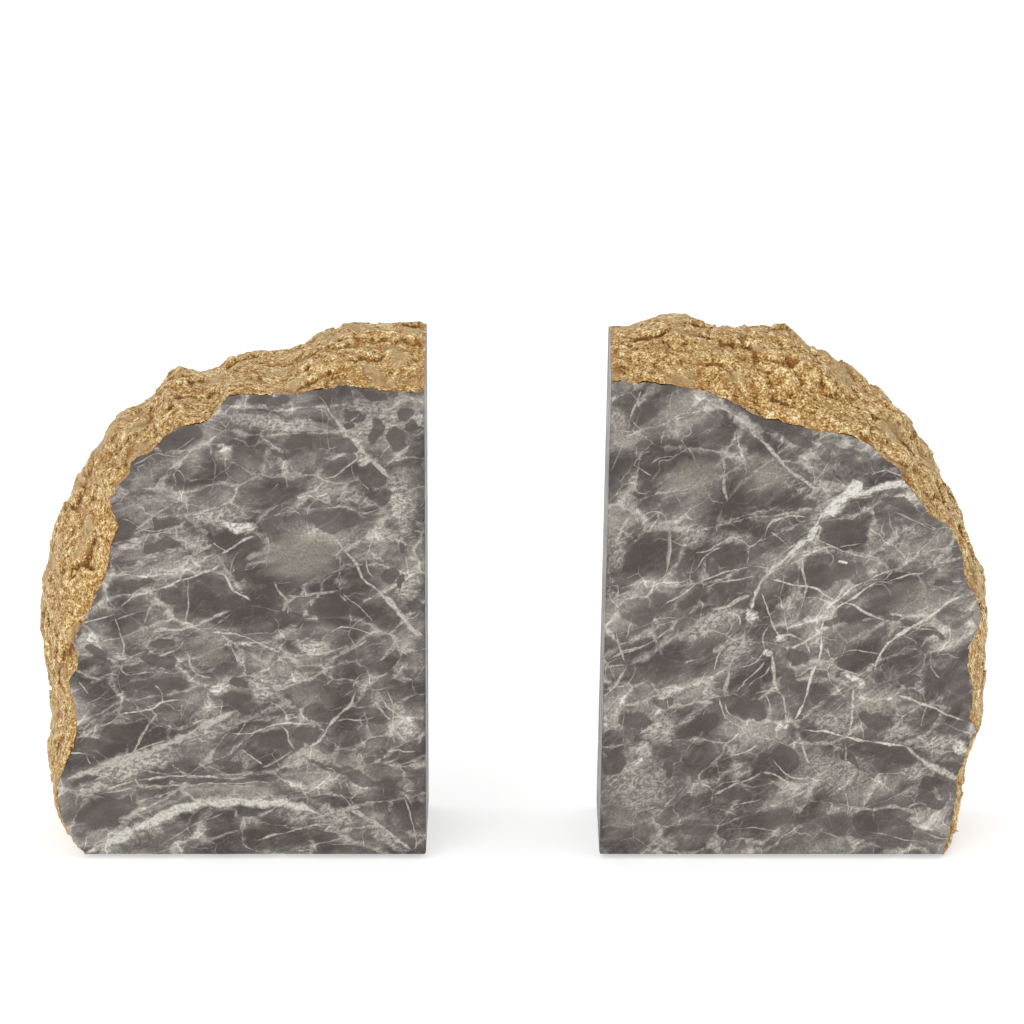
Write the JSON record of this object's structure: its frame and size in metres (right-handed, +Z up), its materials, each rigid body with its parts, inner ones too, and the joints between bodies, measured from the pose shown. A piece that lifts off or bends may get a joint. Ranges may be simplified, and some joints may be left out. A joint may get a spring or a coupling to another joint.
{
  "type": "pair of stone book ends",
  "caption": "Pair of quarter-round veined marble book ends with polished faces, rough gilt broken rims and rubber pads; one slides along the shelf to fit the books.",
  "frame": {"origin": "on the shelf, under the middle of the pair's bounding box", "axes": "+X along the row of books, from the left book end to the right one; +Y from the polished front faces to the back; +Z up"},
  "size_m": [0.3236, 0.066, 0.1773],
  "materials": {
    "left_marble": "polished grey marble with broad pale veins",
    "right_marble": "polished grey marble with fine pale veins",
    "gilt": "rough broken stone under gold leaf",
    "rubber": "matt"
  },
  "bodies": {
    "left_bookend": {"left_marble_slab": "left_marble", "left_gilt_crust": "gilt", "left_pad_front_inner": "rubber", "left_pad_front_outer": "rubber", "left_pad_back_inner": "rubber", "left_pad_back_outer": "rubber"},
    "right_bookend": {"right_marble_slab": "right_marble", "right_gilt_crust": "gilt", "right_pad_front_inner": "rubber", "right_pad_front_outer": "rubber", "right_pad_back_inner": "rubber", "right_pad_back_outer": "rubber"}
  },
  "joints": [
    {"name": "right_slide", "type": "slide", "parent": "left_bookend", "child": "right_bookend", "axis": [1, 0, 0], "range_m": [-0.057, 0.25]}
  ]
}
